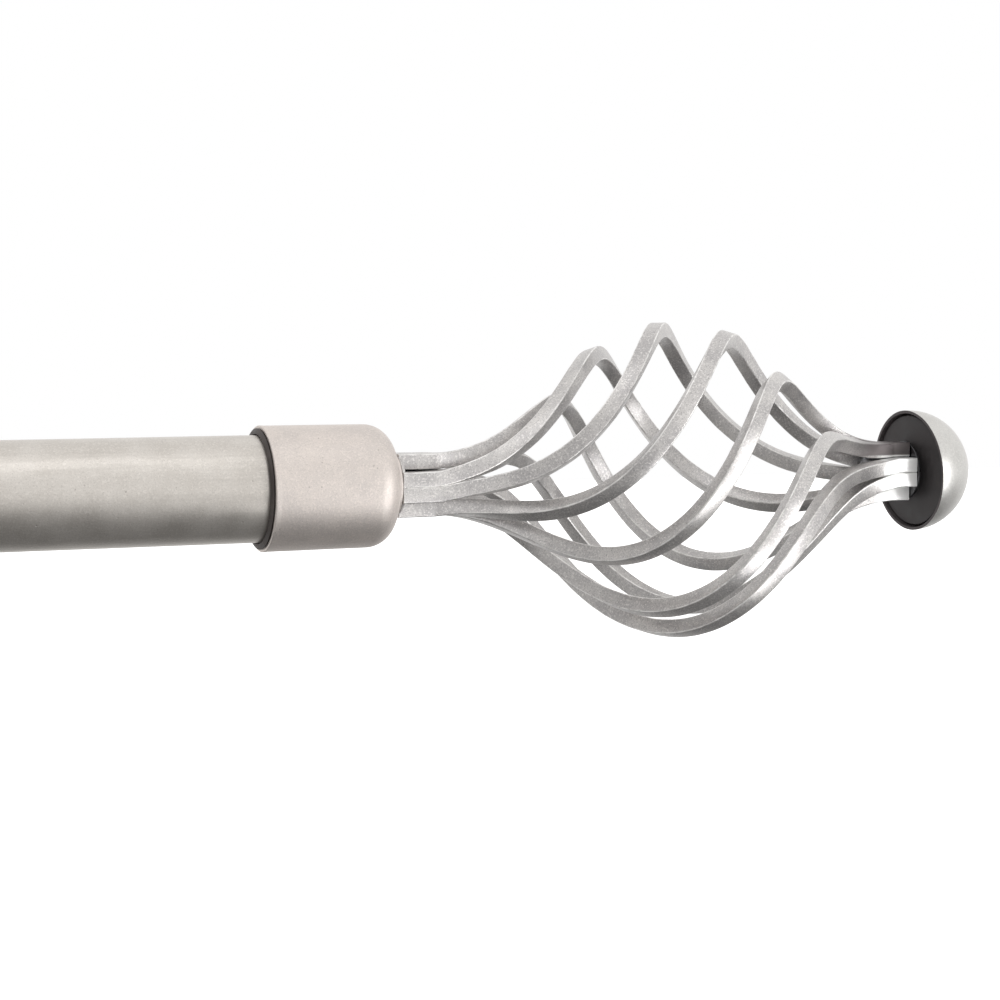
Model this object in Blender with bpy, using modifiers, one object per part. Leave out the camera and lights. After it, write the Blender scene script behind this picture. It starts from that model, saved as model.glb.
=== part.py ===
"""Curtain pole end with a twisted-bar cage finial.

The pole runs along +X and ends inside a drawn collar. Eight square bars leave the collar as a
tight bundle, swell into a left-hand twisted cage and close again in front of a half-ball cap.
The origin is the centre of the pole's cut end, +Z is up and all lengths are metres.
"""

import math

import bmesh
import bpy
import numpy as np
from mathutils import Euler, Matrix, Vector

MM = 0.001
CLEARANCE = 0.3 * MM  # running and assembly gap between neighbouring pieces
ROUND_STEPS = 40  # facets round a turned piece

# Where local Z points
ALONG_X = (0.0, math.radians(90.0), 0.0)
ALONG_Y = (math.radians(-90.0), 0.0, 0.0)
UPRIGHT = (0.0, 0.0, 0.0)

# Pole: a stub of 28 mm tube, which carries on past its cut end
POLE_RADIUS = 14.0 * MM
POLE_WALL = 1.0 * MM
POLE_END = 97.0 * MM

# Collar: a drawn cup, open towards the pole
COLLAR_MOUTH = 75.7 * MM
COLLAR_FRONT = 111.0 * MM
COLLAR_RADIUS = 16.45 * MM
COLLAR_LIP_FLARE = 0.1 * MM
COLLAR_LIP_LENGTH = 1.6 * MM
COLLAR_WALL = 1.0 * MM
COLLAR_SHOULDER = 7.0 * MM
COLLAR_TAPER = 0.15 * MM

# Sleeve: nylon bush between pole and collar, with a coned flange that closes the mouth
SLEEVE_FRONT = 74.7 * MM
SLEEVE_BACK = 84.0 * MM
SLEEVE_FLANGE_RADIUS = 15.8 * MM
SLEEVE_FLANGE_EDGE = 0.2 * MM
SLEEVE_CONE = 0.5 * MM

# Grub screw, at the back, that grips the pole through the collar
GRUB_X = 90.5 * MM
GRUB_RADIUS = 2.35 * MM
GRUB_LENGTH = 3.2 * MM
GRUB_SOCKET_ACROSS = 2.5 * MM
GRUB_SOCKET_DEPTH = 1.6 * MM

# Square bars and the bundle they form at both ends
BAR_COUNT = 8
BAR_WIDTH = 3.9 * MM
BAR_PITCH = BAR_WIDTH + CLEARANCE
BUNDLE_RADIUS = math.hypot(0.5, 1.5) * BAR_PITCH
BUNDLE_SLIP = 22.5 - math.degrees(math.atan2(0.5, 1.5))  # bundled bars stand this far off even spacing
BUNDLE_OUTER = 8.9 * MM
BAR_START = 112.5 * MM
BAR_END = 268.5 * MM
BAR_STATIONS = 57

# Cage: where the bars leave and rejoin the bundle, and how they swell and turn between
CAGE_START = 123.0 * MM
CAGE_END = 263.0 * MM
CAGE_RADIUS = 42.6 * MM
CAGE_FULLNESS = 2.3
CAGE_SKEW = 0.1
CAGE_TURN = 225.0
TURN_EASE = 0.15
TURN_LEAD = 10.0

# Hand-bent bars are never quite even: degrees off place at mid cage, degrees of lean from one end
# to the other, and how much further out each one reaches
BAR_WANDER = (-5.0, -2.0, -1.5, -3.0, -1.5, -3.5, 17.5, -3.5)
BAR_SWAY = (-5.5, 4.0, -4.0, 0.0, -6.5, 0.0, 1.0, 4.5)
BAR_REACH = (0.3 * MM, 2.4 * MM, -1.0 * MM, -1.0 * MM, -1.5 * MM, 1.0 * MM, 1.5 * MM, -0.5 * MM)

# Fixings on the axis at the collar end
STUD_RADIUS = 4.0 * MM
STUD_HOLE_RADIUS = 4.3 * MM
STUD_START = 99.0 * MM
STUD_END = 124.0 * MM
NECK_WASHER_BACK = COLLAR_FRONT + CLEARANCE
NECK_WASHER_FRONT = BAR_START - CLEARANCE
INNER_WASHER_RADIUS = 8.0 * MM
INNER_WASHER_THICKNESS = 1.6 * MM
SPRING_WASHER_RADIUS = 6.8 * MM
SPRING_WASHER_THICKNESS = 2.0 * MM
SPRING_WASHER_SLIT = 1.2 * MM
STUD_NUT_ACROSS = 13.0 * MM
STUD_NUT_HEIGHT = 6.0 * MM

# Half-ball cap and what holds it
DOME_MOUTH = 270.7 * MM
DOME_RADIUS = 17.5 * MM
DOME_DEPTH = 17.0 * MM
DOME_WALL = 0.8 * MM
DOME_ARC_POINTS = 10
DOME_LEAN = (0.0, math.radians(-3.2), math.radians(2.6))  # the cap sits slightly askew on its stud
TIP_WASHER_THICKNESS = 0.8 * MM
TIP_STUD_START = 256.0 * MM
TIP_STUD_END = 281.0 * MM
TIP_THREAD_RADIUS = 3.0 * MM
TIP_HOLE_RADIUS = 3.3 * MM
INSERT_RECESS = 0.8 * MM
INSERT_THICKNESS = 2.5 * MM
INSERT_RADIUS = 16.0 * MM
INSERT_HOLE_RADIUS = 3.6 * MM
TIP_NUT_ACROSS = 10.0 * MM
TIP_NUT_HEIGHT = 5.0 * MM
TIP_NUT_AIR = 0.5 * MM  # room for the insert to lean


def clear_scene():
    for item in list(bpy.data.objects):
        bpy.data.objects.remove(item, do_unlink=True)


def new_collection(name):
    collection = bpy.data.collections.new(name)
    bpy.context.scene.collection.children.link(collection)
    return collection


def principled(name, colour, roughness, metallic):
    material = bpy.data.materials.new(name)
    material.use_nodes = True
    shader = material.node_tree.nodes["Principled BSDF"]
    shader.inputs["Base Color"].default_value = (*colour, 1.0)
    shader.inputs["Roughness"].default_value = roughness
    shader.inputs["Metallic"].default_value = metallic
    return material


def satin_silver(name):
    return principled(name, (0.62, 0.60, 0.58), 0.38, 0.7)


def zinc_steel(name):
    return principled(name, (0.55, 0.56, 0.58), 0.3, 1.0)


def black_nylon(name):
    return principled(name, (0.025, 0.022, 0.02), 0.55, 0.0)


def place(mesh_or_curve, name, collection, material=None):
    item = bpy.data.objects.new(name, mesh_or_curve)
    collection.objects.link(item)
    if material is not None:
        item.data.materials.append(material)
    return item


def lean(item):
    """Set the cap and its insert askew, about the middle of the cap's mouth."""
    pivot = Matrix.Translation((DOME_MOUTH, 0.0, 0.0))
    askew = Euler(DOME_LEAN).to_matrix().to_4x4()
    item.matrix_world = pivot @ askew @ pivot.inverted() @ Euler(ALONG_X).to_matrix().to_4x4()


def mesh_from(bm, name):
    mesh = bpy.data.meshes.new(name)
    bm.to_mesh(mesh)
    bm.free()
    return mesh


def turned(name, collection, material, profile, closed=True):
    """A turned piece about the pole's axis.

    profile lists (distance along the pole, radius), its outer side from the far end to the near
    end. An open profile starts and ends on the axis.
    """
    bm = bmesh.new()
    points = [bm.verts.new((radius, 0.0, along)) for along, radius in profile]
    for first, second in zip(points, points[1:]):
        bm.edges.new((first, second))
    if closed:
        bm.edges.new((points[-1], points[0]))
    item = place(mesh_from(bm, name), name, collection, material)
    screw = item.modifiers.new("turn", "SCREW")
    screw.axis = "Z"
    screw.angle = math.tau
    screw.steps = ROUND_STEPS
    screw.render_steps = ROUND_STEPS
    screw.use_merge_vertices = True
    screw.merge_threshold = 0.00001
    screw.use_smooth_shade = True
    item.rotation_euler = ALONG_X
    return item


def ring(name, collection, material, start, end, inner, outer, chamfer=0.0):
    """A washer-like ring with chamfered outer edges."""
    profile = [(end, inner), (end, outer - chamfer)]
    if chamfer > 0.0:
        profile += [(end - chamfer, outer), (start + chamfer, outer)]
    else:
        profile += [(start, outer)]
    profile += [(start, outer - chamfer), (start, inner)] if chamfer > 0.0 else [(start, inner)]
    return turned(name, collection, material, profile)


def cylinder_mesh(name, radius, length, sides):
    bm = bmesh.new()
    bmesh.ops.create_cone(
        bm,
        cap_ends=True,
        cap_tris=False,
        segments=sides,
        radius1=radius,
        radius2=radius,
        depth=length,
    )
    return mesh_from(bm, name)


def cutter(mesh, name, collection, location, rotation=ALONG_X):
    item = place(mesh, name, collection)
    item.location = location
    item.rotation_euler = rotation
    item.hide_render = True
    item.display_type = "WIRE"
    return item


def cut(item, tool):
    boolean = item.modifiers.new("cut", "BOOLEAN")
    boolean.operation = "DIFFERENCE"
    boolean.solver = "EXACT"
    boolean.object = tool


def arc(centre, radius, start_deg, end_deg, count):
    """Points (along, radius) on an arc in the profile plane; 0 degrees faces away from the axis."""
    points = []
    for angle in np.linspace(math.radians(start_deg), math.radians(end_deg), count):
        points.append((centre[0] + radius * math.sin(angle), centre[1] + radius * math.cos(angle)))
    return points


def pole_tube(parts):
    bore = POLE_RADIUS - POLE_WALL
    edge = 0.2 * MM
    profile = [
        (POLE_END, bore),
        (POLE_END, POLE_RADIUS - edge),
        (POLE_END - edge, POLE_RADIUS),
        (edge, POLE_RADIUS),
        (0.0, POLE_RADIUS - edge),
        (0.0, bore),
    ]
    turned("pole_tube", parts, satin_silver("pole_satin"), profile)


def collar_profile():
    """Outer side from the front face to the mouth, then back along the inside."""
    shoulder_outer = COLLAR_RADIUS - COLLAR_TAPER
    centre = (COLLAR_FRONT - COLLAR_SHOULDER, shoulder_outer - COLLAR_SHOULDER)
    inside = COLLAR_RADIUS - COLLAR_WALL
    lip_inner_round = 0.3 * MM
    profile = [(COLLAR_FRONT, STUD_HOLE_RADIUS)]
    profile += arc(centre, COLLAR_SHOULDER, 90.0, 0.0, 9)
    profile += [
        (COLLAR_MOUTH + COLLAR_LIP_LENGTH, COLLAR_RADIUS),
        (COLLAR_MOUTH + COLLAR_LIP_LENGTH / 4, COLLAR_RADIUS + COLLAR_LIP_FLARE),
        (COLLAR_MOUTH, COLLAR_RADIUS - lip_inner_round),
        (COLLAR_MOUTH, inside),
    ]
    profile += [(centre[0], inside - COLLAR_TAPER)]
    profile += arc(centre, COLLAR_SHOULDER - COLLAR_WALL, 15.0, 90.0, 6)
    profile += [(COLLAR_FRONT - COLLAR_WALL, STUD_HOLE_RADIUS)]
    return profile


def collar_cup(parts, cutters):
    collar = turned("collar_cup", parts, satin_silver("collar_satin"), collar_profile())
    hole = cylinder_mesh("grub_hole", GRUB_RADIUS + CLEARANCE, 4.0 * MM, 32)
    where = (GRUB_X, COLLAR_RADIUS - COLLAR_WALL / 2, 0.0)
    cut(collar, cutter(hole, "grub_hole", cutters, where, ALONG_Y))


def grip_sleeve(parts):
    inner = POLE_RADIUS + CLEARANCE
    outer = COLLAR_RADIUS - COLLAR_WALL - CLEARANCE
    flange_back = SLEEVE_FRONT + SLEEVE_CONE + SLEEVE_FLANGE_EDGE
    profile = [
        (SLEEVE_BACK, inner),
        (SLEEVE_BACK, outer),
        (flange_back, outer),
        (flange_back, SLEEVE_FLANGE_RADIUS - 0.1 * MM),
        (flange_back - 0.1 * MM, SLEEVE_FLANGE_RADIUS),
        (SLEEVE_FRONT + SLEEVE_CONE, SLEEVE_FLANGE_RADIUS),
        (SLEEVE_FRONT, inner + 0.6 * MM),
        (SLEEVE_FRONT, inner),
    ]
    turned("grip_sleeve", parts, black_nylon("sleeve_nylon"), profile)


def grub_screw(parts, cutters):
    """Set screw with a hexagon socket; its origin is on its own axis, which is the joint's axis."""
    tip = POLE_RADIUS + CLEARANCE
    screw = place(cylinder_mesh("grub_screw", GRUB_RADIUS, GRUB_LENGTH, 32), "grub_screw", parts)
    screw.data.materials.append(zinc_steel("grub_steel"))
    screw.location = (GRUB_X, tip + GRUB_LENGTH / 2, 0.0)
    screw.rotation_euler = ALONG_Y
    bevel = screw.modifiers.new("chamfer", "BEVEL")
    bevel.width = 0.3 * MM
    bevel.segments = 1
    socket_radius = GRUB_SOCKET_ACROSS / 2 / math.cos(math.radians(30.0))
    socket = cylinder_mesh("grub_socket", socket_radius, 2 * GRUB_SOCKET_DEPTH, 6)
    where = (GRUB_X, tip + GRUB_LENGTH, 0.0)
    cut(screw, cutter(socket, "grub_socket", cutters, where, ALONG_Y))


def hex_nut(name, parts, cutters, start, height, across, hole_radius):
    corner = across / 2 / math.cos(math.radians(30.0))
    centre = (start + height / 2, 0.0, 0.0)
    nut = place(cylinder_mesh(name, corner, height, 6), name, parts, zinc_steel(name + "_steel"))
    nut.location = centre
    nut.rotation_euler = ALONG_X
    bore = cylinder_mesh(name + "_bore", hole_radius, 2 * height, 32)
    cut(nut, cutter(bore, name + "_bore", cutters, centre))


def stud(name, parts, sections, edge):
    """A turned stud: sections lists (start, end, radius) along the pole, nearest first."""
    profile = [(sections[-1][1], 0.0), (sections[-1][1], sections[-1][2] - edge)]
    profile += [(sections[-1][1] - edge, sections[-1][2])]
    for first, second in zip(reversed(sections[:-1]), reversed(sections)):
        profile += [(second[0], second[2]), (first[1], first[2])]
    profile += [(sections[0][0] + edge, sections[0][2])]
    profile += [(sections[0][0], sections[0][2] - edge), (sections[0][0], 0.0)]
    turned(name, parts, zinc_steel(name + "_steel"), profile, closed=False)


def neck_fixings(parts, cutters):
    """Everything on the axis that bolts the bundle to the collar's front face."""
    washer_front = COLLAR_FRONT - COLLAR_WALL - CLEARANCE
    washer_back = washer_front - INNER_WASHER_THICKNESS
    spring_front = washer_back - CLEARANCE
    spring_back = spring_front - SPRING_WASHER_THICKNESS
    nut_start = spring_back - CLEARANCE - STUD_NUT_HEIGHT
    edge = 0.2 * MM

    ring(
        "neck_washer",
        parts,
        satin_silver("neck_washer_satin"),
        NECK_WASHER_BACK,
        NECK_WASHER_FRONT,
        STUD_HOLE_RADIUS,
        BUNDLE_OUTER,
        edge,
    )
    stud("core_stud", parts, [(STUD_START, STUD_END, STUD_RADIUS)], 0.5 * MM)
    ring(
        "inner_washer",
        parts,
        zinc_steel("inner_washer_steel"),
        washer_back,
        washer_front,
        STUD_HOLE_RADIUS,
        INNER_WASHER_RADIUS,
        edge,
    )
    spring = ring(
        "spring_washer",
        parts,
        zinc_steel("spring_washer_steel"),
        spring_back,
        spring_front,
        STUD_HOLE_RADIUS,
        SPRING_WASHER_RADIUS,
    )
    bm = bmesh.new()
    bmesh.ops.create_cube(bm, size=1.0)
    scale = Matrix.Diagonal((2 * SPRING_WASHER_THICKNESS, SPRING_WASHER_SLIT, SPRING_WASHER_RADIUS, 1.0))
    bmesh.ops.transform(bm, matrix=scale, verts=bm.verts)
    where = ((spring_back + spring_front) / 2, 0.0, STUD_HOLE_RADIUS / 2 + SPRING_WASHER_RADIUS / 2)
    cut(spring, cutter(mesh_from(bm, "spring_slit"), "spring_slit", cutters, where, UPRIGHT))
    hex_nut("stud_nut", parts, cutters, nut_start, STUD_NUT_HEIGHT, STUD_NUT_ACROSS, STUD_HOLE_RADIUS)


def cage_shape(along, bar):
    """Radius, angle and face direction (radians) of one bar at a distance along the pole.

    Angles run from the front (-Y) over the top (+Z). In the bundle the bars lie face to face;
    in the cage they spread to even spacing and each keeps one face outwards.
    """
    share = min(max((along - CAGE_START) / (CAGE_END - CAGE_START), 0.0), 1.0)
    leaning = share - CAGE_SKEW * share * (1.0 - share)
    belly = max(math.sin(math.pi * leaning), 0.0) ** CAGE_FULLNESS
    radius = BUNDLE_RADIUS + (CAGE_RADIUS + BAR_REACH[bar] - BUNDLE_RADIUS) * belly
    eased = share - TURN_EASE * math.sin(math.tau * share) / math.tau
    turn = CAGE_TURN * eased + TURN_LEAD * math.sin(math.pi * share) ** 2
    bundled = math.cos(math.pi * share) ** 5
    side = 1.0 if bar % 2 == 0 else -1.0
    sway = BAR_SWAY[bar] * math.sin(math.tau * share) * math.sin(math.pi * share)
    even = 67.5 - 45.0 * bar + turn + BAR_WANDER[bar] * belly + sway
    angle = even + side * BUNDLE_SLIP * bundled
    facing = even + side * 22.5 * bundled
    return radius, math.radians(angle), math.radians(facing)


def outward(angle):
    return Vector((0.0, -math.cos(angle), math.sin(angle)))


def bar_path(bar):
    centres = []
    facings = []
    for along in np.linspace(BAR_START, BAR_END, BAR_STATIONS):
        radius, angle, facing = cage_shape(along, bar)
        centres.append(Vector((along, 0.0, 0.0)) + radius * outward(angle))
        facings.append(outward(facing))
    return centres, facings


def section_tilts(centres, facings):
    """Tilt at each point that turns a face of the square section outwards."""
    tilts = []
    for index, facing in enumerate(facings):
        before = centres[max(index - 1, 0)]
        after = centres[min(index + 1, len(centres) - 1)]
        along = (after - before).normalized()
        up = (Vector((0.0, 0.0, 1.0)) - along * along.z).normalized()
        side = along.cross(up)
        tilts.append(math.atan2(facing.dot(side), facing.dot(up)) + math.radians(45.0))
    return np.unwrap(tilts)


def cage_bars(parts):
    for bar in range(BAR_COUNT):
        name = f"cage_bar_{bar + 1}"
        centres, facings = bar_path(bar)
        curve = bpy.data.curves.new(name, "CURVE")
        curve.dimensions = "3D"
        curve.twist_mode = "Z_UP"
        curve.bevel_depth = BAR_WIDTH / math.sqrt(2.0)
        curve.bevel_resolution = 0
        curve.render_resolution_u = 0
        curve.use_fill_caps = True
        spline = curve.splines.new("POLY")
        spline.points.add(len(centres) - 1)
        spline.use_smooth = False
        for point, centre, tilt in zip(spline.points, centres, section_tilts(centres, facings)):
            point.co = (*centre, 1.0)
            point.tilt = tilt
        place(curve, name, parts, satin_silver(name + "_satin"))


def dome_cap(parts):
    """Thin pressed half ball, open towards the bars."""
    outer = []
    inner = []
    for angle in np.linspace(math.pi / 2, 0.0, DOME_ARC_POINTS):
        outer.append((DOME_MOUTH + DOME_DEPTH * math.sin(angle), DOME_RADIUS * math.cos(angle)))
        inner.append(
            (
                DOME_MOUTH + (DOME_DEPTH - DOME_WALL) * math.sin(angle),
                (DOME_RADIUS - DOME_WALL) * math.cos(angle),
            )
        )
    outer[0] = (outer[0][0], 0.0)
    inner[0] = (inner[0][0], 0.0)
    lean(turned("dome_cap", parts, satin_silver("dome_satin"), outer + inner[::-1], closed=False))


def tip_fixings(parts, cutters):
    washer_back = BAR_END + CLEARANCE
    washer_front = washer_back + TIP_WASHER_THICKNESS
    insert_back = DOME_MOUTH + INSERT_RECESS
    insert_front = insert_back + INSERT_THICKNESS
    edge = 0.2 * MM
    shoulder = BAR_END - CLEARANCE
    sections = [(TIP_STUD_START, shoulder, STUD_RADIUS), (shoulder, TIP_STUD_END, TIP_THREAD_RADIUS)]
    stud("tip_stud", parts, sections, 0.5 * MM)
    ring(
        "tip_washer",
        parts,
        zinc_steel("tip_washer_steel"),
        washer_back,
        washer_front,
        TIP_HOLE_RADIUS,
        BUNDLE_OUTER - CLEARANCE,
        edge,
    )
    insert = ring(
        "dome_insert",
        parts,
        black_nylon("insert_nylon"),
        insert_back,
        insert_front,
        INSERT_HOLE_RADIUS,
        INSERT_RADIUS,
        edge,
    )
    lean(insert)
    nut_start = insert_front + CLEARANCE + TIP_NUT_AIR
    hex_nut("tip_nut", parts, cutters, nut_start, TIP_NUT_HEIGHT, TIP_NUT_ACROSS, TIP_HOLE_RADIUS)


def main():
    clear_scene()
    parts = new_collection("cage_finial")
    cutters = new_collection("cutters")
    pole_tube(parts)
    collar_cup(parts, cutters)
    grip_sleeve(parts)
    grub_screw(parts, cutters)
    neck_fixings(parts, cutters)
    cage_bars(parts)
    dome_cap(parts)
    tip_fixings(parts, cutters)


main()
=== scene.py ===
"""Looks for a satin silver curtain pole end: pole stub, collar and twisted square-bar cage finial.

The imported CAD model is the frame. Fine turned and swept meshes stand in for its visible nodes and
the hidden fixings keep their own meshes. All lengths are metres, along the frame's own axes.
"""

import math

import bmesh
import bpy
import numpy as np
from mathutils import Euler, Matrix, Vector, noise


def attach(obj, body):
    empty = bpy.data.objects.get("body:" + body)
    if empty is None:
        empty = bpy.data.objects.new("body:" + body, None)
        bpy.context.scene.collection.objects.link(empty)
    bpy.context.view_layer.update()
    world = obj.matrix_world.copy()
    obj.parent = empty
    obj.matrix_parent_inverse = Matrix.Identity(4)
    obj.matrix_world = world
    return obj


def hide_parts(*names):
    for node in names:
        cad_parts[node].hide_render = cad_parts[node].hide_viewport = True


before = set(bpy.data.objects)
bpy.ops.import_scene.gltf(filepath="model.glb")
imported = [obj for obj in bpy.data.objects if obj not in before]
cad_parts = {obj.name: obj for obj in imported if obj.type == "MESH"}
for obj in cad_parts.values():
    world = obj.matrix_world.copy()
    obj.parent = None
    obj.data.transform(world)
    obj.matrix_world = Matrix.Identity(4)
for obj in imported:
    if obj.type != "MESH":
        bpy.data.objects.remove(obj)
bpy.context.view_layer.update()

MM = 0.001
TURN_STEPS = 160  # facets round a turned piece
FILLET_STEPS = 5
DOME_STEPS = 32
SHARP_ANGLE = math.radians(35.0)  # edges steeper than this stay crisp
ON_AXIS = 1e-7  # a radius below this is a point on the pole's axis

# ---------------------------------------------------------------- sizes
# As in the CAD, but the bars are a little fuller and turn about themselves, and the weld is added
POLE_RADIUS = 14.0 * MM
POLE_BORE = 13.0 * MM
POLE_END = 97.0 * MM

COLLAR_MOUTH = 75.7 * MM
COLLAR_FRONT = 111.0 * MM
COLLAR_RADIUS = 16.45 * MM
COLLAR_NOSE_RADIUS = 16.3 * MM
COLLAR_WALL = 1.0 * MM
COLLAR_SHOULDER = 7.0 * MM
COLLAR_SHOULDER_STEPS = 14
COLLAR_LIP = 1.6 * MM
COLLAR_FLARE = 0.1 * MM
# Distance past the mouth, and how much narrower the collar is there
COLLAR_TAPER = ((26.0 * MM, 0.1 * MM), (20.0 * MM, 0.08 * MM), (10.0 * MM, 0.03 * MM))
STUD_HOLE_RADIUS = 4.3 * MM

FIT_GAP = 0.3 * MM
SLEEVE_FRONT = 74.7 * MM
SLEEVE_CONE = 75.2 * MM
SLEEVE_FLANGE = 75.4 * MM
SLEEVE_FLANGE_RADIUS = 15.8 * MM
SLEEVE_FACE_WIDTH = 0.6 * MM
SLEEVE_BACK = 84.0 * MM

NECK_RING = (111.3 * MM, 112.2 * MM)
NECK_RING_RADIUS = 8.9 * MM
WELD_CORE_RADIUS = 1.0 * MM
WELD_SKIN = (
    (112.35 * MM, 8.75 * MM, 0.2 * MM),
    (113.2 * MM, 8.3 * MM, 0.3 * MM),
    (113.9 * MM, 6.9 * MM, 0.4 * MM),
)

BAR_COUNT = 8
BAR_HALF = 2.08 * MM
BAR_CORNER = 0.38 * MM
BAR_PITCH = 4.2 * MM
BAR_START = 112.5 * MM
BAR_END = 268.5 * MM
BAR_STATIONS = 261
BAR_SPACING = 360.0 / BAR_COUNT
BAR_TOP_ANGLE = 67.5  # where the first bar starts, in degrees from the front over the top
BAR_WAVER = 0.05 * MM
BAR_WAVER_LUMP = 5.0 * MM
BAR_END_SHRINK = 0.93
BAR_END_LIP = 0.1 * MM
BUNDLE_RADIUS = math.hypot(0.5, 1.5) * BAR_PITCH
BUNDLE_SLIP = BAR_SPACING / 2 - math.degrees(math.atan2(0.5, 1.5))
BUNDLE_HOLD = 5  # how quickly the bars leave their places in the bundle
CAGE_START = 123.0 * MM
CAGE_END = 263.0 * MM
CAGE_RADIUS = 42.6 * MM
CAGE_FULLNESS = 2.3
CAGE_SKEW = 0.1
CAGE_TURN = 225.0
TURN_EASE = 0.15
TURN_LEAD = 10.0
DROP_FADE = 6.0 * MM  # half the length over which BAR_DROP fades out, about CAGE_START

# One number for each bar, from the upper front one down the front and round the back:
# how much lower it lies in the bundle, degrees round the pole's axis at the belly, degrees about
# its own centre line there, degrees to and fro round the axis, and how much further out it reaches
BAR_DROP = (0.0, 0.38 * MM, 0.22 * MM, 0.1 * MM, 0.0, 0.0, 0.0, 0.0)
BAR_WANDER = (-5.0, -2.0, -1.5, -3.0, -1.5, -3.5, 17.5, -3.5)
BAR_TWIST = (8.0, 4.0, -6.0, -12.0, -20.0, 18.0, 20.0, 20.0)
BAR_SWAY = (-5.5, 4.0, -4.0, 0.0, -6.5, 0.0, 1.0, 4.5)
BAR_REACH = (0.3 * MM, 2.4 * MM, -1.0 * MM, -1.0 * MM, -1.5 * MM, 1.0 * MM, 1.5 * MM, -0.5 * MM)

TIP_RING = (268.8 * MM, 269.6 * MM)
TIP_RING_RADIUS = 8.6 * MM
TIP_RING_HOLE = 3.3 * MM
INSERT = (271.5 * MM, 274.0 * MM)
INSERT_RADIUS = 16.0 * MM
INSERT_HOLE = 3.6 * MM
DOME_MOUTH = 270.7 * MM
DOME_RADIUS = 17.5 * MM
DOME_DEPTH = 17.0 * MM
DOME_WALL = 0.8 * MM
DOME_LEAN = (0.0, math.radians(-3.2), math.radians(2.6))

# ---------------------------------------------------------------- paint
BLOTCH = 9.0 * MM
SPECKLE = 0.55 * MM
GRAIN = 0.3 * MM
PIT_SPACING = 1.9 * MM
SPECKLE_PALER = 1.18
GRAIN_DARKER = 0.68
STREAK_DARKER = 0.8
PIT_COLOUR = (0.22, 0.19, 0.18)
# Painted highlight along the bars' rounded corners
EDGE_HIGHLIGHT_COLOUR = (0.93, 0.92, 0.90)
# Pale tips of the low bars near the cap: partly bare metal, partly a painted highlight
BARE_AND_HIGHLIGHT_COLOUR = (0.97, 0.97, 0.96)
# Painted shade on the high bar near the cap
PAINTED_SHADE_COLOUR = (0.20, 0.18, 0.18)
# Where the pale tips begin, how they fade and jag, and the height that parts the low bars (pale
# tips) from the high one (painted shade)
BRIGHT_TIP_FROM = 256.5 * MM
BRIGHT_TIP_FADE = 2.5 * MM
BRIGHT_TIP_JAG = 1.6 * MM
SPLIT_HEIGHT = 4.6 * MM
HEIGHT_FADE = 0.6 * MM
# Where the painted shade on the high bar begins, and how long it takes to come in
SHADE_FROM = 244.0 * MM
SHADE_FADE = 12.0 * MM

# ---------------------------------------------------------------- camera
CAMERA_PLACE = (-73.08 * MM, -553.70 * MM, 43.97 * MM)
CAMERA_YAW = math.radians(21.3)
CAMERA_DROP = math.radians(4.7)
CAMERA_LENS = 79.2
CAMERA_SENSOR = 36.0
CAMERA_NEAR = 0.01
CAMERA_FAR = 50.0

# ---------------------------------------------------------------- studio
WHITE = (1.0, 1.0, 1.0, 1.0)
OPEN_SHADE = (1.0, 0.995, 0.985, 1.0)
# Towards, full strength within, none beyond, brightness left
DIM_PATCHES = (
    ((0.12, -0.19, -0.97), math.radians(22.0), math.radians(83.0), 0.09),
    ((-0.88, -0.40, 0.15), math.radians(15.0), math.radians(60.0), 0.6),
)
FLOOR_HEIGHT = -0.32
FLOOR_HALF = 4.0
FLOOR_GLOW = 0.6
# Name, place, aim, width, height, power
LIGHTS = (
    ("overhead", (0.02, -0.25, 0.70), (0.15, 0.0, 0.0), 0.5, 0.35, 0.4),
    ("side", (0.65, -0.46, -0.06), (0.24, 0.0, 0.0), 0.18, 0.42, 1.1),
    ("low_front", (0.29, -0.25, -0.17), (0.12, 0.0, 0.0), 0.12, 0.12, 0.24),
)

# ---------------------------------------------------------------- CAD meshes that are kept
FIXINGS = (
    "grub_screw",
    "core_stud",
    "inner_washer",
    "spring_washer",
    "stud_nut",
    "tip_stud",
    "tip_nut",
)


def photo_camera():
    """Camera in front, at the pole's side and a little above, looking right and down."""
    data = bpy.data.cameras.new("photo_camera")
    data.sensor_width = CAMERA_SENSOR
    data.lens = CAMERA_LENS
    data.clip_start = CAMERA_NEAR
    data.clip_end = CAMERA_FAR
    camera = bpy.data.objects.new("photo_camera", data)
    bpy.context.scene.collection.objects.link(camera)
    camera.location = CAMERA_PLACE
    camera.rotation_euler = (math.pi / 2 - CAMERA_DROP, 0.0, -CAMERA_YAW)
    bpy.context.scene.camera = camera


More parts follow.
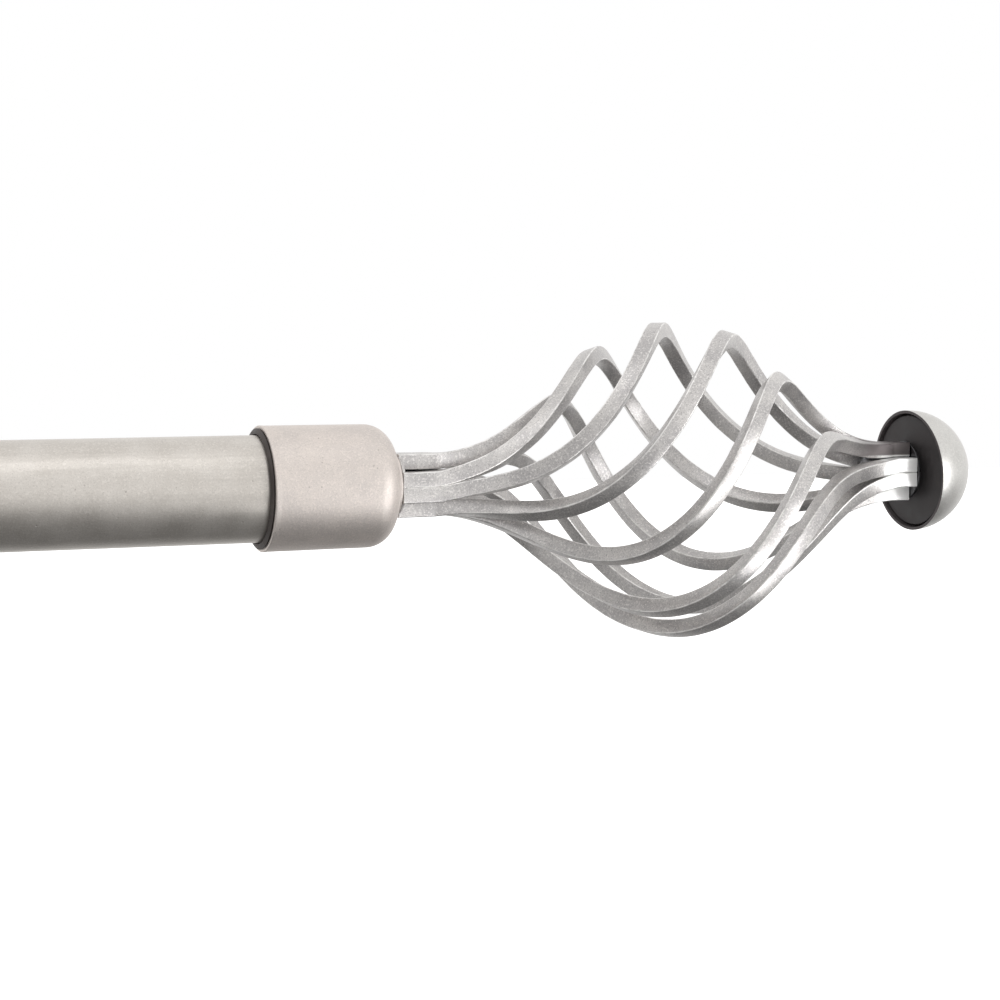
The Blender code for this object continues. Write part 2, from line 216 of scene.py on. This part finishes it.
# ---------------------------------------------------------------- materials
class Nodes:
    """Short calls for a Principled material's node tree."""

    def __init__(self, name):
        self.material = bpy.data.materials.new(name)
        self.material.use_nodes = True
        self.tree = self.material.node_tree
        self.shader = self.tree.nodes["Principled BSDF"]
        self.place = self.add("ShaderNodeTexCoord").outputs["Object"]

    def add(self, kind, **settings):
        node = self.tree.nodes.new(kind)
        for key, value in settings.items():
            setattr(node, key, value)
        return node

    def put(self, socket, value):
        """Link a socket into another, or set its value."""
        if isinstance(value, bpy.types.NodeSocket):
            self.tree.links.new(value, socket)
        elif isinstance(value, tuple) and len(value) == 3 and socket.type == "RGBA":
            socket.default_value = (*value, 1.0)
        else:
            socket.default_value = value

    def stretched(self, scale):
        """The piece's own coordinates, scaled along each axis."""
        node = self.add("ShaderNodeMapping")
        self.put(node.inputs["Vector"], self.place)
        node.inputs["Scale"].default_value = scale
        return node.outputs["Vector"]

    def noise(self, size, detail=3.0, place=None):
        """Noise whose lumps are about size metres across, from 0 to 1."""
        node = self.add("ShaderNodeTexNoise")
        self.put(node.inputs["Vector"], place or self.place)
        node.inputs["Scale"].default_value = 1.0 / size
        node.inputs["Detail"].default_value = detail
        node.inputs["Roughness"].default_value = 0.55
        return node.outputs["Fac"]

    def cells(self, size):
        """Distance to the nearest of points about size metres apart."""
        node = self.add("ShaderNodeTexVoronoi")
        self.put(node.inputs["Vector"], self.place)
        node.inputs["Scale"].default_value = 1.0 / size
        return node.outputs["Distance"]

    def math(self, operation, first, second):
        node = self.add("ShaderNodeMath", operation=operation)
        self.put(node.inputs[0], first)
        self.put(node.inputs[1], second)
        return node.outputs[0]

    def remap(self, value, low, high, to_low=0.0, to_high=1.0):
        """Smooth step from to_low to to_high while value goes from low to high."""
        node = self.add("ShaderNodeMapRange", interpolation_type="SMOOTHSTEP")
        for socket, number in zip(node.inputs, (value, low, high, to_low, to_high)):
            self.put(socket, number)
        return node.outputs["Result"]

    def mix(self, share, first, second):
        node = self.add("ShaderNodeMix", data_type="RGBA")
        self.put(node.inputs["Factor"], share)
        self.put(node.inputs["A"], first)
        self.put(node.inputs["B"], second)
        return node.outputs["Result"]

    def axis(self, name):
        node = self.add("ShaderNodeSeparateXYZ")
        self.put(node.inputs[0], self.place)
        return node.outputs[name]

    def bump(self, height, depth, strength, normal=None):
        node = self.add("ShaderNodeBump")
        node.inputs["Strength"].default_value = strength
        node.inputs["Distance"].default_value = depth
        self.put(node.inputs["Height"], height)
        if normal is not None:
            self.put(node.inputs["Normal"], normal)
        return node.outputs["Normal"]

    def set(self, **values):
        """Fill the shader's sockets, named in lower case."""
        for key, value in values.items():
            self.put(self.shader.inputs[key.replace("_", " ").title()], value)


def times(colour, factor):
    return tuple(value * factor for value in colour)


def bar_highlights_and_shade(n, colour):
    """Painted highlights on the corners, pale tips on the low bars near the cap (bare metal and
    painted highlight) and painted shade on the high one.
    """
    # Painted highlight along the bars' corners, stronger in patches
    edge_share = n.add("ShaderNodeAttribute", attribute_name="edge_highlight").outputs["Fac"]
    patchy = n.remap(n.noise(3.0 * MM, 3.0), 0.35, 0.6, 0.15, 1.0)
    colour = n.mix(n.math("MULTIPLY", edge_share, patchy), colour, EDGE_HIGHLIGHT_COLOUR)
    # Pale tips on the low bars near the cap, partly bare metal and partly a painted highlight
    jagged = n.remap(n.noise(2.4 * MM, 3.0), 0.0, 1.0, -BRIGHT_TIP_JAG, BRIGHT_TIP_JAG)
    near_tip = n.remap(n.math("ADD", n.axis("X"), jagged), BRIGHT_TIP_FROM, BRIGHT_TIP_FROM + BRIGHT_TIP_FADE)
    low = n.remap(n.axis("Z"), SPLIT_HEIGHT, SPLIT_HEIGHT + HEIGHT_FADE, 1.0, 0.0)
    colour = n.mix(n.math("MULTIPLY", near_tip, low), colour, BARE_AND_HIGHLIGHT_COLOUR)
    # Painted shade on the high bar near the cap
    shaded = n.remap(n.axis("X"), SHADE_FROM, SHADE_FROM + SHADE_FADE)
    high = n.remap(n.axis("Z"), SPLIT_HEIGHT, SPLIT_HEIGHT + HEIGHT_FADE)
    return n.mix(n.math("MULTIPLY", shaded, high), colour, PAINTED_SHADE_COLOUR)


def satin_silver(name, light, dark, speckled, streaked=False, painted_bar_light=False, gloss=0.36):
    """Metallic lacquer: pale speckle and pits on an uneven coat, with streaks or the bars' painted
    highlights and shade if asked.
    """
    n = Nodes(name)
    blotch = n.noise(BLOTCH, 4.0)
    speckle = n.noise(SPECKLE, 2.0)
    grain = n.noise(GRAIN, 1.0)
    pits = n.remap(n.cells(PIT_SPACING), 0.06, 0.16, 1.0, 0.0)
    few = n.remap(n.noise(5.0 * MM, 2.0), 0.55, 0.65)
    pitted = n.math("MULTIPLY", pits, few)
    colour = n.mix(n.remap(blotch, 0.3, 0.7), dark, light)
    pale_share = n.remap(speckle, 0.48, 0.7, 0.0, speckled)
    colour = n.mix(pale_share, colour, times(light, SPECKLE_PALER))
    dark_share = n.remap(grain, 0.5, 0.75, 0.0, speckled * 0.8)
    colour = n.mix(dark_share, colour, times(dark, GRAIN_DARKER))
    rough = n.remap(blotch, 0.25, 0.75, gloss - 0.02, gloss + 0.03)
    if streaked:
        along = n.stretched((0.05, 1.0, 1.0))
        streaks = n.noise(1.6 * MM, 3.0, place=along)
        streak_share = n.remap(streaks, 0.45, 0.75, 0.0, 0.3)
        colour = n.mix(streak_share, colour, times(dark, STREAK_DARKER))
        rough = n.math("ADD", rough, n.remap(streaks, 0.4, 0.7, 0.0, 0.04))
    colour = n.mix(n.math("MULTIPLY", pitted, 0.4), colour, PIT_COLOUR)
    if painted_bar_light:
        colour = bar_highlights_and_shade(n, colour)
    normal = n.bump(grain, 0.02 * MM, 0.5)
    normal = n.bump(speckle, 0.035 * MM, 0.6, normal)
    normal = n.bump(pitted, -0.06 * MM, 0.7, normal)
    n.set(base_color=colour, roughness=rough, normal=normal)
    n.shader.inputs["Metallic"].default_value = 0.8
    n.shader.inputs["Coat Weight"].default_value = 0.08
    n.shader.inputs["Coat Roughness"].default_value = 0.3
    return n.material


def black_nylon(name, dark, light):
    """Moulded nylon: fine matt grain over slightly uneven black."""
    n = Nodes(name)
    grain = n.noise(GRAIN, 3.0)
    patches = n.noise(4.0 * MM, 3.0)
    colour = n.mix(n.remap(patches, 0.35, 0.7), dark, light)
    colour = n.mix(n.remap(grain, 0.6, 0.85, 0.0, 0.5), colour, times(light, 1.8))
    normal = n.bump(grain, 0.04 * MM, 0.6)
    n.set(base_color=colour, roughness=n.remap(patches, 0.3, 0.7, 0.5, 0.66), normal=normal)
    n.shader.inputs["Specular IOR Level"].default_value = 0.35
    return n.material


def zinc_steel(name, plate):
    """Zinc plate with crystalline blotches, turning marks and a few dull spots."""
    n = Nodes(name)
    crystals = n.cells(1.3 * MM)
    marks = n.noise(0.25 * MM, 2.0, place=n.stretched((6.0, 1.0, 1.0)))
    dull = n.noise(3.0 * MM, 4.0)
    colour = n.mix(n.remap(crystals, 0.1, 0.7), plate, times(plate, 0.8))
    colour = n.mix(n.remap(dull, 0.55, 0.75, 0.0, 0.5), colour, times(plate, 0.56))
    rough = n.remap(dull, 0.3, 0.7, 0.24, 0.42)
    normal = n.bump(marks, 0.02 * MM, 0.5)
    n.set(base_color=colour, roughness=rough, metallic=1.0, normal=normal)
    return n.material


# ---------------------------------------------------------------- mesh tools
def rounded(corners, steps=FILLET_STEPS):
    """Corners (along, radius, fillet) of a closed outline, as points with each corner filleted."""
    points = []
    for index, (along, radius, fillet) in enumerate(corners):
        here = Vector((along, radius))
        if fillet <= 0.0:
            points.append(here)
            continue
        before = (Vector(corners[index - 1][:2]) - here).normalized()
        after = (Vector(corners[(index + 1) % len(corners)][:2]) - here).normalized()
        half = before.angle(after) / 2
        reach = fillet / math.tan(half)
        centre = here + (before + after).normalized() * (fillet / math.sin(half))
        start = here + before * reach - centre
        end = here + after * reach - centre
        sweep = start.angle(end)
        for step in range(steps + 1):
            share = step / steps
            arm = start * math.sin((1 - share) * sweep) + end * math.sin(share * sweep)
            points.append(centre + arm / math.sin(sweep))
    return points


def finish_mesh(bm, name):
    """Turn a bmesh into a smooth-shaded mesh with its sharp edges kept."""
    bmesh.ops.recalc_face_normals(bm, faces=bm.faces)
    mesh = bpy.data.meshes.new(name)
    bm.to_mesh(mesh)
    bm.free()
    for face in mesh.polygons:
        face.use_smooth = True
    mesh.set_sharp_from_angle(angle=SHARP_ANGLE)
    return mesh


def add_piece(mesh, body, slot, materials, *nodes):
    """Put a finished mesh in the scene, on its body, in place of the CAD nodes named. The slot is
    not used.
    """
    piece = bpy.data.objects.new(mesh.name, mesh)
    bpy.context.scene.collection.objects.link(piece)
    for material in materials:
        mesh.materials.append(material)
    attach(piece, body)
    if nodes:
        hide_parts(*nodes)


def lathe(name, outline, uneven=0.0, lump=8.0 * MM, closed=True):
    """A piece turned about the pole's axis; uneven is how far its skin strays from true."""
    bm = bmesh.new()
    rings = []
    for along, radius in outline:
        if radius < ON_AXIS:
            rings.append([bm.verts.new((along, 0.0, 0.0))] * TURN_STEPS)
            continue
        ring = []
        for step in range(TURN_STEPS):
            angle = math.tau * step / TURN_STEPS
            spot = Vector((along, -radius * math.cos(angle), radius * math.sin(angle)))
            stray = uneven * noise.noise(spot / lump)
            spot.yz = spot.yz * (1.0 + stray / radius)
            ring.append(bm.verts.new(spot))
        rings.append(ring)
    pairs = list(zip(rings, rings[1:]))
    if closed:
        pairs.append((rings[-1], rings[0]))
    for first, second in pairs:
        for step in range(TURN_STEPS):
            after = (step + 1) % TURN_STEPS
            corners = [first[step], first[after], second[after], second[step]]
            bm.faces.new(list(dict.fromkeys(corners)))
    return finish_mesh(bm, name)


def ring_outline(span, hole, radius, rim_edges):
    """Outline of a flat ring; rim_edges are the fillets of its outer rim, near side first."""
    start, end = span
    return rounded(
        [
            (end, hole, 0.1 * MM),
            (end, radius, rim_edges[1]),
            (start, radius, rim_edges[0]),
            (start, hole, 0.1 * MM),
        ]
    )


def lean(mesh):
    """Set a cap piece askew on its stud, about the middle of the cap's mouth."""
    pivot = Matrix.Translation((DOME_MOUTH, 0.0, 0.0))
    mesh.transform(pivot @ Euler(DOME_LEAN).to_matrix().to_4x4() @ pivot.inverted())


def outward(angle):
    """Direction away from the pole's axis, turned by angle from the front over the top."""
    return Vector((0.0, -math.cos(angle), math.sin(angle)))


def cage_shape(along, bar):
    """Radius, angle and face direction (radians) of one bar at a distance along the pole."""
    share = min(max((along - CAGE_START) / (CAGE_END - CAGE_START), 0.0), 1.0)
    leaning = share - CAGE_SKEW * share * (1.0 - share)
    belly = max(math.sin(math.pi * leaning), 0.0) ** CAGE_FULLNESS
    radius = BUNDLE_RADIUS + (CAGE_RADIUS + BAR_REACH[bar] - BUNDLE_RADIUS) * belly
    eased = share - TURN_EASE * math.sin(math.tau * share) / math.tau
    turn = CAGE_TURN * eased + TURN_LEAD * math.sin(math.pi * share) ** 2
    bundled = math.cos(math.pi * share) ** BUNDLE_HOLD
    side = 1.0 if bar % 2 == 0 else -1.0
    sway = BAR_SWAY[bar] * math.sin(math.tau * share) * math.sin(math.pi * share)
    even = BAR_TOP_ANGLE - BAR_SPACING * bar + turn + BAR_WANDER[bar] * belly + sway
    angle = even + side * BUNDLE_SLIP * bundled
    facing = even + side * BAR_SPACING / 2 * bundled + BAR_TWIST[bar] * belly
    return radius, math.radians(angle), math.radians(facing)


def square_section():
    """Rounded square, as (out, side, highlight): offsets from the bar's centre and how much painted
    edge highlight it takes.
    """
    points = []
    inner = BAR_HALF - BAR_CORNER
    for quarter, (out, side) in enumerate(((1, 1), (-1, 1), (-1, -1), (1, -1))):
        for step in range(5):
            angle = math.radians(90.0 * quarter + 22.5 * step)
            points.append(
                (
                    out * inner + BAR_CORNER * math.cos(angle),
                    side * inner + BAR_CORNER * math.sin(angle),
                    math.sin(math.pi * step / 4),
                )
            )
    return points


def bar_path(bar):
    """Centres of one bar from end to end, and the way its outer face looks at each."""
    centres = []
    facings = []
    for along in np.linspace(BAR_START, BAR_END, BAR_STATIONS):
        radius, angle, facing = cage_shape(along, bar)
        bundled = min(max((CAGE_START + DROP_FADE - along) / (2 * DROP_FADE), 0.0), 1.0)
        drop = Vector((0.0, 0.0, -BAR_DROP[bar] * bundled))
        centres.append(Vector((along, 0.0, 0.0)) + radius * outward(angle) + drop)
        facings.append(outward(facing))
    return centres, facings


def close_end(bm, ring, centre, sign):
    """Close one end of a bar with a small bevel."""
    lip = []
    for vertex in ring:
        spot = centre + (vertex.co - centre) * BAR_END_SHRINK
        lip.append(bm.verts.new(spot + Vector((sign * BAR_END_LIP, 0.0, 0.0))))
    for step in range(len(ring)):
        after = (step + 1) % len(ring)
        bm.faces.new((ring[step], ring[after], lip[after], lip[step]))
    bm.faces.new(lip)


def cage_bar(bar):
    """One square bar swept along its path, with the slight waver of a hand-bent bar."""
    section = square_section()
    centres, facings = bar_path(bar)
    bm = bmesh.new()
    rings = []
    for index, (centre, facing) in enumerate(zip(centres, facings)):
        ahead = centres[min(index + 1, len(centres) - 1)]
        behind = centres[max(index - 1, 0)]
        along = (ahead - behind).normalized()
        out = (facing - along * along.dot(facing)).normalized()
        side = along.cross(out)
        ring = []
        for a, b, _ in section:
            spot = centre + out * a + side * b
            stray = BAR_WAVER * noise.noise(spot / BAR_WAVER_LUMP + Vector((bar * 7.0, 0.0, 0.0)))
            ring.append(bm.verts.new(spot + (out * a + side * b).normalized() * stray))
        rings.append(ring)
    count = len(section)
    for first, second in zip(rings, rings[1:]):
        for step in range(count):
            after = (step + 1) % count
            bm.faces.new((first[step], first[after], second[after], second[step]))
    close_end(bm, rings[0], centres[0], -1.0)
    close_end(bm, rings[-1], centres[-1], 1.0)
    mesh = finish_mesh(bm, f"bar_{bar + 1}")
    # How much painted edge highlight each vertex takes: full at the middle of a rounded corner
    edge_highlight = mesh.attributes.new("edge_highlight", "FLOAT", "POINT")
    for index, vertex in enumerate(edge_highlight.data):
        vertex.value = section[index % count][2]
    return mesh


# ---------------------------------------------------------------- pieces
def pole(paint):
    edge = 0.25 * MM
    outline = rounded(
        [
            (POLE_END, POLE_BORE, 0.1 * MM),
            (POLE_END, POLE_RADIUS, edge),
            (60.0 * MM, POLE_RADIUS, 0.0),
            (30.0 * MM, POLE_RADIUS, 0.0),
            (0.0, POLE_RADIUS, edge),
            (0.0, POLE_BORE, 0.15 * MM),
        ]
    )
    mesh = lathe("pole", outline, uneven=0.02 * MM, lump=30.0 * MM)
    add_piece(mesh, "pole", "satin_pole", [paint], "pole_tube")


def collar(paint):
    back = COLLAR_FRONT - COLLAR_WALL
    taper = [
        (COLLAR_MOUTH + past, COLLAR_RADIUS - narrower, 0.0) for past, narrower in COLLAR_TAPER
    ]
    outline = rounded(
        [
            (COLLAR_FRONT, STUD_HOLE_RADIUS, 0.2 * MM),
            (COLLAR_FRONT, COLLAR_NOSE_RADIUS, COLLAR_SHOULDER),
            *taper,
            (COLLAR_MOUTH + COLLAR_LIP, COLLAR_RADIUS, 0.3 * MM),
            (COLLAR_MOUTH, COLLAR_RADIUS + COLLAR_FLARE, 0.35 * MM),
            (COLLAR_MOUTH, COLLAR_RADIUS - COLLAR_WALL, 0.2 * MM),
            (back, COLLAR_NOSE_RADIUS - COLLAR_WALL, COLLAR_SHOULDER - COLLAR_WALL),
            (back, STUD_HOLE_RADIUS, 0.2 * MM),
        ],
        steps=COLLAR_SHOULDER_STEPS,
    )
    mesh = lathe("collar", outline, uneven=0.05 * MM)
    add_piece(mesh, "finial", "satin_collar", [paint], "collar_cup")


def sleeve(nylon):
    inner = POLE_RADIUS + FIT_GAP
    outer = COLLAR_RADIUS - COLLAR_WALL - FIT_GAP
    outline = rounded(
        [
            (SLEEVE_BACK, inner, 0.1 * MM),
            (SLEEVE_BACK, outer, 0.2 * MM),
            (SLEEVE_FLANGE, outer, 0.0),
            (SLEEVE_FLANGE, SLEEVE_FLANGE_RADIUS, 0.08 * MM),
            (SLEEVE_CONE, SLEEVE_FLANGE_RADIUS, 0.08 * MM),
            (SLEEVE_FRONT, inner + SLEEVE_FACE_WIDTH, 0.15 * MM),
            (SLEEVE_FRONT, inner, 0.1 * MM),
        ]
    )
    mesh = lathe("sleeve", outline, uneven=0.04 * MM)
    add_piece(mesh, "sleeve", "black_nylon", [nylon], "grip_sleeve")


def neck_ring(paint):
    outline = ring_outline(NECK_RING, STUD_HOLE_RADIUS, NECK_RING_RADIUS, (0.25 * MM, 0.25 * MM))
    mesh = lathe("neck_ring", outline, uneven=0.05 * MM, lump=4.0 * MM)
    add_piece(mesh, "finial", "satin_collar", [paint], "neck_washer")


def neck_weld(paint):
    """Lumpy weld that fills between the bar ends at the neck ring, under the bars' paint."""
    outline = rounded(
        [
            (WELD_SKIN[0][0], WELD_CORE_RADIUS, 0.1 * MM),
            *WELD_SKIN,
            (WELD_SKIN[-1][0], WELD_CORE_RADIUS, 0.1 * MM),
        ]
    )
    mesh = lathe("neck_weld", outline, uneven=0.45 * MM, lump=2.2 * MM)
    add_piece(mesh, "finial", "satin_collar", [paint])


def tip_ring(steel):
    outline = ring_outline(TIP_RING, TIP_RING_HOLE, TIP_RING_RADIUS, (0.2 * MM, 0.2 * MM))
    add_piece(lathe("tip_ring", outline), "finial", "zinc_steel", [steel], "tip_washer")


def dome(paint, nylon):
    """Half ball, painted outside and left dark on its rim and inside."""
    outer = []
    inner = []
    inner_depth = DOME_DEPTH - DOME_WALL
    inner_radius = DOME_RADIUS - DOME_WALL
    for step in range(DOME_STEPS + 1):
        angle = math.pi / 2 * (1.0 - step / DOME_STEPS)
        across = 0.0 if step == 0 else math.cos(angle)
        outer.append(Vector((DOME_MOUTH + DOME_DEPTH * math.sin(angle), DOME_RADIUS * across)))
        inner.append(Vector((DOME_MOUTH + inner_depth * math.sin(angle), inner_radius * across)))
    mesh = lathe("dome", outer + inner[::-1], uneven=0.06 * MM, lump=6.0 * MM, closed=False)
    mouth = Vector((DOME_MOUTH, 0.0, 0.0))
    for face in mesh.polygons:
        inside = face.normal.dot(face.center - mouth) < 0.0
        on_rim = face.center.x < DOME_MOUTH + 1e-5
        face.material_index = 1 if inside or on_rim else 0
    lean(mesh)
    add_piece(mesh, "finial", "satin_dome", [paint, nylon], "dome_cap")


def insert(nylon):
    outline = ring_outline(INSERT, INSERT_HOLE, INSERT_RADIUS, (0.3 * MM, 0.2 * MM))
    mesh = lathe("cap_insert", outline)
    lean(mesh)
    add_piece(mesh, "finial", "black_nylon", [nylon], "dome_insert")


def fixings(steel):
    """Zinc plate on the CAD's own meshes for the fixings."""
    for node in FIXINGS:
        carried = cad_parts[node]
        carried.data.materials.clear()
        carried.data.materials.append(steel)


# ---------------------------------------------------------------- stage
def area_light(name, place, aim, width, height, power):
    data = bpy.data.lights.new(name, "AREA")
    data.shape = "RECTANGLE"
    data.size = width
    data.size_y = height
    data.energy = power
    light = bpy.data.objects.new(name, data)
    bpy.context.scene.collection.objects.link(light)
    light.location = place
    light.rotation_euler = (Vector(aim) - Vector(place)).to_track_quat("-Z", "Y").to_euler()
    light.visible_camera = False


def white_world():
    """Pure white to the camera; to the pieces, white with a dim patch below and one at the left."""
    world = bpy.data.worlds.new("studio")
    world.use_nodes = True
    tree = world.node_tree
    lit = tree.nodes["Background"]
    seen = tree.nodes.new("ShaderNodeBackground")
    seen.inputs["Color"].default_value = WHITE
    direction = tree.nodes.new("ShaderNodeTexCoord").outputs["Generated"]
    light = None
    for side, inner, outer, shade in DIM_PATCHES:
        towards = tree.nodes.new("ShaderNodeVectorMath")
        towards.operation = "DOT_PRODUCT"
        tree.links.new(direction, towards.inputs[0])
        towards.inputs[1].default_value = Vector(side).normalized()
        patch = tree.nodes.new("ShaderNodeMapRange")
        patch.interpolation_type = "SMOOTHSTEP"
        tree.links.new(towards.outputs["Value"], patch.inputs["Value"])
        patch.inputs["From Min"].default_value = math.cos(outer)
        patch.inputs["From Max"].default_value = math.cos(inner)
        patch.inputs["To Min"].default_value = 1.0
        patch.inputs["To Max"].default_value = shade
        if light is None:
            light = patch.outputs["Result"]
        else:
            both = tree.nodes.new("ShaderNodeMath")
            both.operation = "MULTIPLY"
            tree.links.new(light, both.inputs[0])
            tree.links.new(patch.outputs["Result"], both.inputs[1])
            light = both.outputs["Value"]
    tree.links.new(light, lit.inputs["Strength"])
    lit.inputs["Color"].default_value = OPEN_SHADE
    paths = tree.nodes.new("ShaderNodeLightPath")
    choose = tree.nodes.new("ShaderNodeMixShader")
    tree.links.new(paths.outputs["Is Camera Ray"], choose.inputs["Fac"])
    tree.links.new(lit.outputs["Background"], choose.inputs[1])
    tree.links.new(seen.outputs["Background"], choose.inputs[2])
    tree.links.new(choose.outputs["Shader"], tree.nodes["World Output"].inputs["Surface"])
    bpy.context.scene.world = world


def paper_floor():
    """White paper well below the piece, which neither shades nor tints it."""
    bm = bmesh.new()
    bmesh.ops.create_grid(bm, x_segments=1, y_segments=1, size=FLOOR_HALF)
    floor = bpy.data.objects.new("floor", finish_mesh(bm, "floor"))
    floor.location = (0.0, 0.0, FLOOR_HEIGHT)
    floor.visible_glossy = False
    floor.visible_diffuse = False
    floor.visible_shadow = False
    bpy.context.scene.collection.objects.link(floor)
    n = Nodes("floor_paper")
    paper = n.mix(n.noise(0.4), (0.95, 0.95, 0.95), (0.97, 0.97, 0.97))
    n.set(base_color=paper, roughness=0.8)
    n.shader.inputs["Emission Color"].default_value = WHITE
    n.shader.inputs["Emission Strength"].default_value = FLOOR_GLOW
    floor.data.materials.append(n.material)


def studio():
    white_world()
    paper_floor()
    for light in LIGHTS:
        area_light(*light)


def main():
    photo_camera()
    bpy.context.scene.view_settings.view_transform = "Standard"
    pole_paint = satin_silver(
        "pole_paint", (0.67, 0.635, 0.595), (0.59, 0.555, 0.515), 0.5, streaked=True
    )
    collar_paint = satin_silver(
        "collar_paint", (0.72, 0.66, 0.62), (0.64, 0.59, 0.56), 0.5, gloss=0.52
    )
    bar_paint = satin_silver(
        "bar_paint", (0.64, 0.62, 0.605), (0.47, 0.455, 0.455), 1.0, painted_bar_light=True
    )
    dome_paint = satin_silver("dome_paint", (0.66, 0.65, 0.63), (0.58, 0.57, 0.55), 0.5)
    sleeve_nylon = black_nylon("sleeve_nylon", (0.055, 0.046, 0.044), (0.09, 0.077, 0.072))
    cap_nylon = black_nylon("cap_nylon", (0.042, 0.038, 0.039), (0.056, 0.050, 0.051))
    # The cap's lining and rim are painted paler than the insert's nylon, a painted lift against the
    # shade inside the cap
    lightened_cap_lining = black_nylon("lightened_cap_lining", (0.085, 0.075, 0.077), (0.11, 0.095, 0.097))
    bright_zinc = zinc_steel("bright_zinc", (0.60, 0.61, 0.64))
    # The tip ring's zinc is the same plate made much darker: painted shade where it sits behind the
    # bar ends in the cap's mouth
    shade_darkened_zinc = zinc_steel("shade_darkened_zinc", (0.11, 0.11, 0.115))

    pole(pole_paint)
    collar(collar_paint)
    sleeve(sleeve_nylon)
    neck_ring(collar_paint)
    neck_weld(bar_paint)
    for bar in range(BAR_COUNT):
        add_piece(cage_bar(bar), "finial", "satin_bars", [bar_paint], f"cage_bar_{bar + 1}")
    tip_ring(shade_darkened_zinc)
    dome(dome_paint, lightened_cap_lining)
    insert(cap_nylon)
    fixings(bright_zinc)
    studio()


main()
